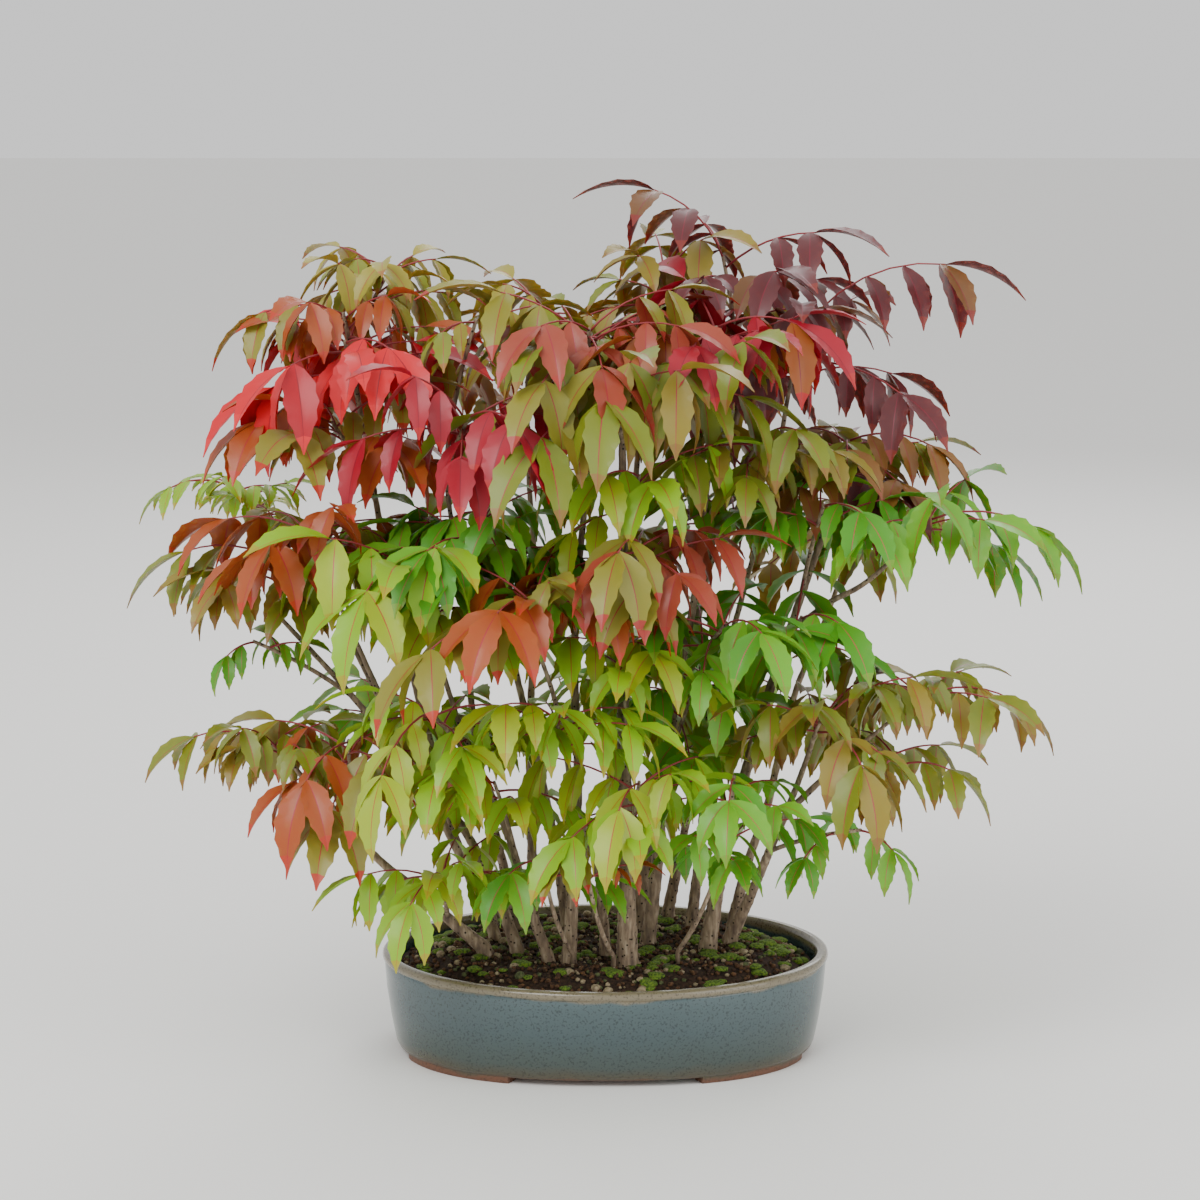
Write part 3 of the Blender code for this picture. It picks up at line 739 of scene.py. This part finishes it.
@dataclass
class Limbs:
    """Stems and boughs with the bark's relief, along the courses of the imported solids."""

    sides: int = 16
    ring_mm: float = 2.0
    relief: float = 0.14
    corners_per_ring: int = 6
    smooth_to: float = 70.0
    courses: dict[str, list[Vector]] = field(default_factory=dict)

    def read_course(self, node: str) -> tuple[list[Vector], list[float]]:
        """Finds a limb's middle line and radii from its solid's rings of corners.

        Args:
            node: The limb's node.

        Returns:
            The middle of each ring, foot first, and its radius.
        """
        found = {tuple(round(c / MM, 2) for c in v.co) for v in frame["nodes"][node].data.vertices}
        corners = sorted((Vector(c) for c in found), key=lambda c: c.z)
        step = self.corners_per_ring
        foot = sum(corners[:step], Vector()) / step
        tip = sum(corners[-step:], Vector()) / step
        corners.sort(key=lambda c: c.dot(tip - foot))
        if node.startswith("stem"):
            corners.sort(key=lambda c: c.z)
        middles, radii = [], []
        for i in range(0, len(corners) - step + 1, step):
            ring = corners[i : i + step]
            middle = sum(ring, Vector()) / step
            middles.append(middle)
            radii.append(sum((c - middle).length for c in ring) / step)
        return middles, radii

    def smooth(self, middles: list[Vector], radii: list[float]) -> tuple[list[Vector], list[float]]:
        """Runs a smooth curve through the rings' middles.

        Args:
            middles: The middle of each ring.
            radii: The radius at each.

        Returns:
            Many points and radii along the curve.
        """
        points, widths = [], []
        for i in range(len(middles) - 1):
            a, b = middles[i], middles[i + 1]
            before = middles[max(i - 1, 0)]
            after = middles[min(i + 2, len(middles) - 1)]
            steps = max(2, round((b - a).length / self.ring_mm))
            for k in range(steps):
                t = k / steps
                curve = 2 * a + (b - before) * t
                curve += (2 * before - 5 * a + 4 * b - after) * t**2
                curve += (3 * a - before - 3 * b + after) * t**3
                points.append(0.5 * curve)
                widths.append(radii[i] + (radii[i + 1] - radii[i]) * t)
        return points + [middles[-1]], widths + [radii[-1]]

    def build(self) -> None:
        """Makes one bark piece for each stem and bough."""
        for node in sorted(frame["nodes"]):
            if not node.startswith(("stem", "bough")):
                continue
            middles, radii = self.read_course(node)
            self.courses[node] = middles
            points, widths = self.smooth(middles, radii)
            piece = piece_of(f"bark_{node}", tube(points, widths, self.sides, self.relief), [BARK])
            finish_by_hand(piece, self.smooth_to)
            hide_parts(node)


class Mass(NamedTuple):
    """A spray of leaves.

    Its fields are what carries it and how far up, where its leaves burst, its longest leaf's tip, a
    blade's length, hang of the blades in degrees, tint, number of leaves, and pairs of blades.
    """

    name: str
    parent: str
    at: float | tuple[float, float]
    burst: tuple[float, float, float]
    tip: tuple[float, float, float]
    blade: float
    hang: float
    tint: str
    leaves: int = 10
    pairs: int = 2


# Sprays that have a solid, with more leaves than it has
MASSES = (
    Mass("spray_crest_plum", "stem_12", 1.0, (58, 10, 399), (-16, -6, 428), 42, 40, "plum"),
    Mass("spray_long_plum", "stem_13", 1.0, (98, 14, 362), (207, 0, 378), 44, 58, "plum", 10, 3),
    Mass("spray_crest_olive", "stem_10", 1.0, (31, 25, 388), (76, -14, 402), 38, 40, "olive"),
    Mass("spray_crest_gold", "stem_07", 1.0, (-30, 48, 370), (-80, 26, 373), 34, 45, "gold"),
    Mass("spray_gold", "stem_03", 1.0, (-108, 30, 391), (-142, 0, 383), 34, 55, "gold"),
    Mass("spray_scarlet", "stem_03", 0.93, (-128, -14, 373), (-192, -20, 345), 38, 62, "rust"),
    Mass("spray_scarlet_front", "stem_03", 0.86, (-126, -34, 361), (-84, -80, 325), 54, 65, "scarlet", 10, 1),
    Mass("spray_rust_left", "stem_03", 0.78, (-134, -18, 320), (-196, -34, 291), 42, 50, "rust"),
    Mass("spray_fine_left", "stem_04", 1.0, (-190, 36, 281), (-236, 26, 263), 24, 40, "lime"),
    Mass("spray_far_left", "stem_02", 1.0, (-164, -10, 251), (-237, -16, 227), 42, 55, "olive"),
    Mass("spray_rust_middle", "bough_left", 1.0, (-143, -42, 269), (-172, -92, 235), 42, 55, "rust"),
    Mass("spray_lime_left", "stem_06", 1.0, (-96, -64, 259), (-122, -116, 203), 52, 60, "lime"),
    Mass("spray_low_left", "stem_01", 1.0, (-164, -38, 163), (-226, -44, 145), 34, 55, "olive"),
    Mass("spray_rust_low", "stem_01", 0.75, (-124, -66, 171), (-150, -112, 117), 44, 60, "rust"),
    Mass("spray_lime_low", "stem_06", 0.55, (-84, -92, 191), (-108, -134, 127), 40, 55, "lime"),
    Mass("spray_rim_lime", "stem_01", 0.3, (-80, -76, 107), (-99, -116, 69), 34, 60, "lime"),
    Mass("spray_rose_crown", "stem_08", 1.0, (-8, -60, 369), (-50, -104, 345), 48, 60, "rose"),
    Mass("spray_olive_front", "stem_11", 1.0, (4, -78, 345), (-4, -140, 301), 54, 65, "olive"),
    Mass("spray_crimson_right", "stem_14", 1.0, (53, -44, 369), (118, -72, 341), 44, 60, "crimson"),
    Mass("spray_olive_right", "stem_14", 0.82, (78, -40, 316), (104, -88, 300), 40, 50, "olive"),
    Mass("spray_bronze_right", "stem_16", 1.0, (122, 18, 307), (184, 8, 277), 36, 50, "bronze"),
    Mass("spray_green_far_right", "bough_right", 1.0, (160, -14, 271), (235, -22, 235), 42, 55, "green"),
    Mass("spray_low_right", "bough_low_right", 1.0, (160, -22, 185), (222, -28, 155), 36, 55, "olive"),
    Mass("spray_olive_low_right", "stem_17", 1.0, (104, -60, 179), (128, -108, 125), 42, 55, "olive"),
    Mass("spray_toothed_green", "soil", (36, -36), (62, -72, 155), (56, -128, 123), 34, 50, "green"),
    Mass("spray_lime_front", "stem_11", 0.28, (16, -86, 155), (0, -136, 113), 42, 60, "lime"),
    Mass("spray_rust_front", "stem_09", 1.0, (-34, -98, 245), (-62, -153, 211), 48, 55, "rust"),
    Mass("spray_rose_front", "stem_11", 0.68, (16, -86, 271), (-2, -150, 239), 44, 58, "rose"),
    Mass("spray_green_left", "stem_05", 0.7, (-62, -62, 267), (-98, -116, 239), 40, 50, "green"),
    Mass("spray_green_right", "stem_14", 0.55, (58, -62, 227), (84, -122, 201), 40, 50, "green"),
    Mass("spray_maroon", "stem_05", 1.0, (-64, -74, 329), (-26, -132, 295), 46, 60, "crimson"),
    Mass("spray_lime_middle", "stem_09", 0.6, (-24, -92, 187), (-72, -134, 179), 38, 50, "lime"),
    Mass("spray_back_left", "stem_19", 1.0, (-86, 104, 339), (-122, 150, 313), 42, 50, "bronze"),
    Mass("spray_back", "stem_15", 1.0, (28, 116, 333), (44, 151, 311), 42, 50, "olive"),
    Mass("spray_back_right", "stem_18", 1.0, (130, 92, 263), (184, 140, 241), 40, 50, "olive"),
    Mass("spray_back_low", "stem_15", 0.5, (30, 104, 185), (4, 150, 159), 42, 50, "green"),
)

# Sprays with no solid: small ones that show in front, and ones that fill out the crown
ACCENTS = (
    Mass("accent_base_green", "soil", (-16, -40), (-30, -64, 112), (-58, -98, 84), 32, 55, "green", 3),
    Mass("accent_ember", "soil", (4, -44), (-10, -86, 122), (-30, -118, 102), 26, 50, "rust", 2),
    Mass("accent_round_green", "stem_16", 0.8, (106, -38, 282), (136, -76, 254), 40, 50, "green", 4),
    Mass("accent_low_olive", "bough_low_right", 0.7, (146, -36, 152), (188, -56, 126), 36, 55, "olive", 4),
    Mass("accent_tail_green", "stem_17", 0.55, (124, -64, 126), (146, -84, 94), 28, 62, "green", 3),
    Mass("accent_left_green", "stem_02", 0.8, (-174, -24, 212), (-192, -34, 186), 24, 62, "green", 3),
    Mass("accent_gold_narrow", "stem_05", 1.0, (-62, -42, 372), (-88, -62, 344), 34, 60, "gold", 3),
    Mass("accent_middle_left", "stem_05", 0.62, (-66, -50, 232), (-96, -98, 206), 42, 52, "lime", 6),
    Mass("accent_middle", "stem_08", 0.55, (-14, -66, 250), (-30, -112, 218), 42, 52, "green", 6),
    Mass("accent_middle_right", "stem_16", 0.55, (96, -34, 226), (126, -84, 200), 42, 52, "green", 6),
    Mass("accent_low_middle", "stem_10", 0.35, (20, 20, 176), (46, -20, 158), 40, 52, "lime", 6),
    Mass("accent_low_left", "stem_04", 0.5, (-104, 10, 170), (-140, -20, 150), 40, 52, "green", 6),
    Mass("accent_low_right", "stem_18", 0.5, (108, 50, 160), (146, 60, 140), 40, 52, "lime", 6),
    Mass("accent_crest_olive", "stem_08", 1.0, (-14, -40, 366), (-56, -52, 350), 38, 48, "olive", 6),
    Mass("accent_crest_front", "stem_14", 1.0, (40, -50, 352), (20, -98, 330), 40, 52, "olive", 5),
    Mass("accent_heart_left", "stem_05", 0.8, (-58, -30, 276), (-88, -70, 252), 42, 52, "green", 7),
    Mass("accent_heart", "stem_11", 0.8, (16, -66, 300), (-16, -108, 278), 42, 55, "lime", 6),
    Mass("accent_heart_right", "stem_12", 0.7, (66, 4, 276), (98, -30, 256), 40, 52, "green", 7),
    Mass("accent_heart_low", "stem_11", 0.5, (10, -62, 218), (34, -106, 192), 42, 52, "lime", 7),
    Mass("accent_heart_side", "stem_14", 0.4, (44, -34, 190), (78, -76, 170), 40, 52, "green", 6),
    Mass("accent_heart_base", "stem_06", 0.35, (-54, -64, 150), (-82, -98, 132), 38, 52, "lime", 5),
    Mass("accent_plum_back", "stem_16", 1.0, (122, 30, 292), (150, 46, 262), 40, 50, "plum", 4),
)


# Places across a blade's upper side, as shares of its half width: edge, side vein and midrib
EDGE, VEIN, RIB = 1.0, 0.52, 0.035
ACROSS = (-EDGE, -VEIN, -RIB, RIB, VEIN, EDGE)

# A blade's section runs over the upper side, then back along the under side
SECTION = (0, 1, 2, 3, 4, 5, 9, 8, 7, 6)
MIDRIB_EDGES = ({2, 3}, {7, 8})


@dataclass
class Foliage:
    """Every spray: its shoot, its crimson stalks and its folded, toothed blades."""

    courses: dict[str, list[Vector]]

    # Blades
    stations: int = 11
    blade_width: float = 0.36
    root_power: float = 0.8
    tip_power: float = 1.2
    fullness: float = 0.26
    least_half_width: float = 0.3
    fold: float = 0.3
    thickness: float = 0.3
    bow: float = 0.42
    quilt: float = 0.05
    vein_sweep: float = 0.28
    teeth: tuple[float, float] = (-0.07, 0.09)
    toothed: tuple[float, float] = (0.2, 0.95)
    tip_from: float = 0.86
    smooth_to: float = 55.0

    # Leaves
    pair_spacing: float = 0.42
    first_pair: float = 0.06
    petiole: float = 0.4
    bare_stalk: float = 0.12
    longest_blade: float = 0.55
    leaf_steps: int = 20
    stalk_steps: int = 6
    stalk_sides: int = 6
    stalk_radius: float = 0.62
    stalk_taper: float = 0.04
    extra_pair: float = 0.45
    turned_leaf: float = 0.35
    turned_blade: float = 0.16
    splay: tuple[float, float] = (48.0, 66.0)
    hang_spread: tuple[float, float] = (-16.0, 14.0)
    blade_spread: tuple[float, float] = (0.82, 1.0)
    pair_shrink: float = 0.12
    end_roll: tuple[float, float] = (-0.4, 0.4)
    pair_roll: tuple[float, float] = (-0.1, 0.5)

    # Sprays
    highest_start: float = 0.995
    lead_from: float = 0.98
    leaves_from: float = 0.97
    leaves_over: float = 0.5
    lead_rise: float = 50.0
    rise: tuple[float, float] = (26.0, 42.0)
    slope: tuple[float, float] = (-34.0, 20.0)
    size_spread: tuple[float, float] = (0.68, 1.0)
    reach_spread: tuple[float, float] = (0.8, 1.0)
    least_reach: float = 0.5
    soil_top: float = 51.0
    soil_rise: float = 6.0
    soil_bow: float = -0.32
    shoot_bow: float = 0.12
    shoot_steps: int = 10
    shoot_sides: int = 7
    shoot_relief: float = 0.1
    shoot_radius: float = 1.35
    shoot_taper: float = 0.5
    side_margin: float = 16.0
    top_margin: float = 8.0
    lowest_tip: float = 74.0

    twigs: Solid = field(default_factory=lambda: ([], []))
    stalks: Solid = field(default_factory=lambda: ([], []))
    blades: dict[str, Solid] = field(default_factory=dict)
    marks: dict[str, list[int]] = field(default_factory=dict)

    def shape(self, t: float) -> float:
        """The outline of a blade at a share of its length: lance-like, with a drawn-out tip."""
        return t**self.root_power * (1.0 - t) ** self.tip_power / self.fullness

    def half_width(self, station: int, size: float) -> float:
        """Half the width of a blade at a station, with its teeth.

        Args:
            station: The station, from the blade's root.
            size: The blade's length.

        Returns:
            The half width, never so small that the blade closes.
        """
        t = station / self.stations
        low, high = self.toothed
        tooth = self.teeth[station % 2] if low < t < high else 0.0
        half = 0.5 * self.blade_width * size
        return max(half * self.shape(t) * (1.0 + tooth), self.least_half_width)

    def blade_corners(self, line: Sequence[Vector], side: Vector, size: float) -> list[Vector]:
        """The corners of a blade: at each station six above, then four below.

        Args:
            line: Its middle line.
            side: The direction across it.
            size: Its length.

        Returns:
            The corners.
        """
        rows = [(c, 0.0) for c in ACROSS] + [(c, self.thickness) for c in ACROSS[1:5]]
        corners = []
        for i, middle in enumerate(line):
            step = line[min(i + 1, self.stations)] - line[max(i - 1, 0)]
            face = side.cross(step).normalized()
            width = self.half_width(i, size)
            back = step.normalized() * (-self.vein_sweep * width)
            quilt = (self.quilt if i % 2 else -self.quilt) * width
            for c, sunk in rows:
                lift = self.fold * abs(c) * width + (quilt if abs(c) == VEIN else 0.0) - sunk
                corners.append(middle + side * (c * width) + face * lift - back * (abs(c) - 0.5))
        return corners

    def add_blade(self, tint: str, root: Vector, tip: Vector, roll: float, body: int) -> None:
        """Adds one blade: a closed sheet, folded along its rib, with a toothed edge.

        Args:
            tint: The tint whose piece it joins.
            root: Where it leaves the stalk.
            tip: Its tip.
            roll: How it turns about its length, in radians.
            body: The patch that its body has.
        """
        line = arc(root, tip, self.bow, self.stations)
        ahead = (tip - root).normalized()
        across = ahead.cross(UP)
        across = across.normalized() if across.length > 0.05 else Vector((1.0, 0.0, 0.0))
        side = across * math.cos(roll) + across.cross(ahead) * math.sin(roll)
        corners = self.blade_corners(line, side, (tip - root).length)
        around = len(SECTION)
        faces: list[tuple[int, ...]] = []
        marks: list[int] = []
        for i in range(self.stations):
            low, high = i * around, (i + 1) * around
            patch = Patch.TIP if (i + 0.5) / self.stations > self.tip_from else body
            for k in range(around):
                a, b = SECTION[k], SECTION[(k + 1) % around]
                faces.append((low + a, low + b, high + b, high + a))
                marks.append(int(Patch.MIDRIB if {a, b} in MIDRIB_EDGES else patch))
        faces += [SECTION[::-1], tuple(self.stations * around + k for k in SECTION)]
        marks += [body, int(Patch.TIP)]
        add_solid(self.blades.setdefault(tint, ([], [])), (corners, faces))
        self.marks.setdefault(tint, []).extend(marks)

    def add_leaf(self, mass: Mass, start: Vector, end: Vector, rise: float, blade: float, seed: str) -> None:
        """Adds a leaf: a bowed stalk, opposite pairs of blades and one at the end.

        Args:
            mass: The spray it is in.
            start: Where its stalk starts.
            end: Its furthest tip.
            rise: How steeply it leaves, in radians.
            blade: A blade's length.
            seed: What its draws start from.
        """
        dice = random.Random(seed)
        length = (end - start).length * rise / math.sin(rise)
        size = min(blade, self.longest_blade * length)
        line = arc(start, end, rise, self.leaf_steps)
        reach = 1.0 - size / length
        knots = range(self.stalk_steps + 1)
        stalk = [along(line, reach * k / self.stalk_steps)[0] for k in knots]
        radii = [self.stalk_radius - self.stalk_taper * k for k in knots]
        add_solid(self.stalks, tube(stalk, radii, self.stalk_sides))
        body = int(Patch.TURNING if dice.random() < self.turned_leaf else Patch.BODY)
        self.add_blade(mass.tint, along(line, reach)[0], end, dice.uniform(*self.end_roll), body)
        for pair in range(mass.pairs + (dice.random() < self.extra_pair)):
            share = reach - (self.first_pair + self.pair_spacing * pair) * size / length
            if share < self.bare_stalk:
                break
            place, ahead = along(line, share)
            side = ahead.cross(UP).normalized()
            for hand in (-1.0, 1.0):
                splay = math.radians(dice.uniform(*self.splay))
                heading = ahead * math.cos(splay) + side * hand * math.sin(splay)
                heading.z = 0.0
                heading.normalize()
                hang = math.radians(mass.hang + dice.uniform(*self.hang_spread))
                here = size * dice.uniform(*self.blade_spread) * (1.0 - self.pair_shrink * pair)
                drop = heading * math.cos(hang) - UP * math.sin(hang)
                roll = hand * dice.uniform(*self.pair_roll)
                patch = 1 - body if dice.random() < self.turned_blade else body
                self.add_blade(mass.tint, place, place + drop * here, roll, patch)

    def shoot(self, mass: Mass) -> list[Vector]:
        """Finds the course of a spray's shoot, from what carries it to where its leaves burst.

        Args:
            mass: The spray.

        Returns:
            The points of its course.
        """
        burst = Vector(mass.burst)
        if mass.parent == "soil":
            start = Vector((*mass.at, self.soil_top))
            return [start] + arc(start + UP * self.soil_rise, burst, self.soil_bow, self.shoot_steps)
        start, _ = along(self.courses[mass.parent], min(mass.at, self.highest_start))
        return arc(start, burst, self.shoot_bow, self.shoot_steps)

    def grow(self, mass: Mass) -> None:
        """Grows a spray: its shoot, its longest leaf, and others round it by the golden angle.

        Args:
            mass: The spray.
        """
        line = self.shoot(mass)
        radii = [self.shoot_radius - self.shoot_taper * i / len(line) for i in range(len(line))]
        add_solid(self.twigs, tube(line, radii, self.shoot_sides, self.shoot_relief))
        burst = Vector(mass.burst)
        tip = Vector(mass.tip)
        rise = math.radians(self.lead_rise)
        self.add_leaf(mass, along(line, self.lead_from)[0], tip, rise, mass.blade, f"{mass.name} 0")
        bearing = math.atan2(tip.y - burst.y, tip.x - burst.x)
        for number in range(1, mass.leaves):
            dice = random.Random(f"{mass.name} {number} 0")
            turn = bearing + GOLDEN_ANGLE * number
            size = mass.blade * dice.uniform(*self.size_spread)
            leaf = 1.0 + self.petiole + self.pair_spacing * mass.pairs
            reach = size * leaf * dice.uniform(*self.reach_spread)
            slope = math.radians(dice.uniform(*self.slope))
            level = Vector((math.cos(turn), math.sin(turn), 0.0))
            chord = level * math.cos(slope) + UP * math.sin(slope)
            back = self.leaves_over * number / (mass.leaves + 1.0)
            begin = along(line, self.leaves_from - back)[0]
            end = self.within(begin, begin + chord * reach)
            rise = math.radians(dice.uniform(*self.rise))
            if (end - begin).length > self.least_reach * reach:
                self.add_leaf(mass, begin, end, rise, size, f"{mass.name} {number}")

    def within(self, begin: Vector, end: Vector) -> Vector:
        """Draws a leaf's end back so that it stays inside the solids' box and over the soil.

        Args:
            begin: Where the leaf starts.
            end: Where it would end.

        Returns:
            Where it ends.
        """
        low, high = (corner / MM for corner in CAD_BOX)
        share = 1.0
        for i in (0, 1, 2):
            step = end[i] - begin[i]
            margin = self.side_margin if i < 2 else self.top_margin
            if step > 0.0:
                share = min(share, (high[i] - margin - begin[i]) / step)
            elif step < 0.0:
                floor = self.lowest_tip if i == 2 else low[i] + margin
                share = min(share, (floor - begin[i]) / step)
        return begin + (end - begin) * max(share, 0.0)

    def build(self) -> None:
        """Grows every spray, and makes a piece for each tint, the stalks and the shoots."""
        for mass in MASSES + ACCENTS:
            self.grow(mass)
        for tint, solid in self.blades.items():
            kind = Tint[tint.upper()]
            piece = piece_of(f"leaves_{tint}", solid, kind.finishes(), self.marks[tint])
            piece.data.shade_smooth()
            piece.data.set_sharp_from_angle(angle=math.radians(self.smooth_to))
            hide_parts(*[mass.name for mass in MASSES if mass.tint == tint])
        for name, solid, finish, slot in (
            ("leaf_stalks", self.stalks, STALK, "crimson"),
            ("shoots", self.twigs, BARK, "bark"),
        ):
            piece = piece_of(name, solid, [finish])
            piece.data.shade_smooth()


class SoftLight(NamedTuple):
    """An area light: its name, its place and width in metres, and its power in watts."""

    name: str
    place: tuple[float, float, float]
    power: float
    width: float


LIGHTS = (
    SoftLight("key", (-0.9, -1.3, 1.7), 30.0, 1.2),
    SoftLight("fill", (1.4, -1.0, 0.9), 11.0, 1.4),
    SoftLight("back", (0.4, 1.6, 1.4), 14.0, 1.2),
)


@dataclass
class Studio:
    """The pale floor, the soft lights and the camera at the photograph's angle."""

    distance: float = 1600.0
    pitch: float = 9.57
    aim: tuple[float, float, float] = (-2.7, 0.0, 228.5)
    lens: float = 96.0
    sensor: float = 36.0
    floor_m: float = 30.0
    floor_colour: str = "f2f1ee"
    sky_colour: str = "ffffff"
    sky_strength: float = 0.95

    def set_floor(self) -> None:
        """Lays the floor and sets the world's plain light."""
        bpy.ops.object.select_all(action="DESELECT")
        bpy.ops.mesh.primitive_plane_add(size=self.floor_m)
        floor = bpy.context.object
        floor.name = "floor"
        floor.data.materials.append(Finish("pale_floor", self.floor_colour, 0.85).material())
        world = bpy.data.worlds.new("studio")
        world.use_nodes = True
        sky = world.node_tree.nodes["Background"]
        sky.inputs["Color"].default_value = linear(self.sky_colour)
        sky.inputs["Strength"].default_value = self.sky_strength
        bpy.context.scene.world = world

    def set_lights(self) -> None:
        """Places the soft lights, turned to the plant."""
        for soft in LIGHTS:
            bpy.ops.object.light_add(type="AREA", location=soft.place)
            light = bpy.context.object
            light.name = soft.name
            light.data.energy = soft.power
            light.data.size = soft.width
            ahead = Vector(self.aim) * MM - light.location
            light.rotation_euler = ahead.to_track_quat("-Z", "Y").to_euler()

    def set_camera(self) -> None:
        """Places the camera, looking slightly down at the plant."""
        pitch = math.radians(self.pitch)
        aim = Vector(self.aim)
        place = aim + Vector((0.0, -math.cos(pitch), math.sin(pitch))) * self.distance
        bpy.ops.object.camera_add(location=place * MM)
        camera = bpy.context.object
        camera.rotation_euler = (aim - place).to_track_quat("-Z", "Y").to_euler()
        camera.data.lens = self.lens
        camera.data.sensor_width = self.sensor
        bpy.context.scene.camera = camera

    def build(self) -> None:
        """Sets up the floor, the world, the lights and the camera."""
        self.set_floor()
        self.set_lights()
        self.set_camera()


def main() -> None:
    """Builds the studio, the pot, the soil, the limbs and the foliage."""
    logging.basicConfig(level=logging.INFO, format="%(message)s")
    Studio().build()
    pot = Pot()
    pot.build()
    Soil(pot).build()
    limbs = Limbs()
    limbs.build()
    Foliage(limbs.courses).build()


if __name__ == "__main__":
    main()
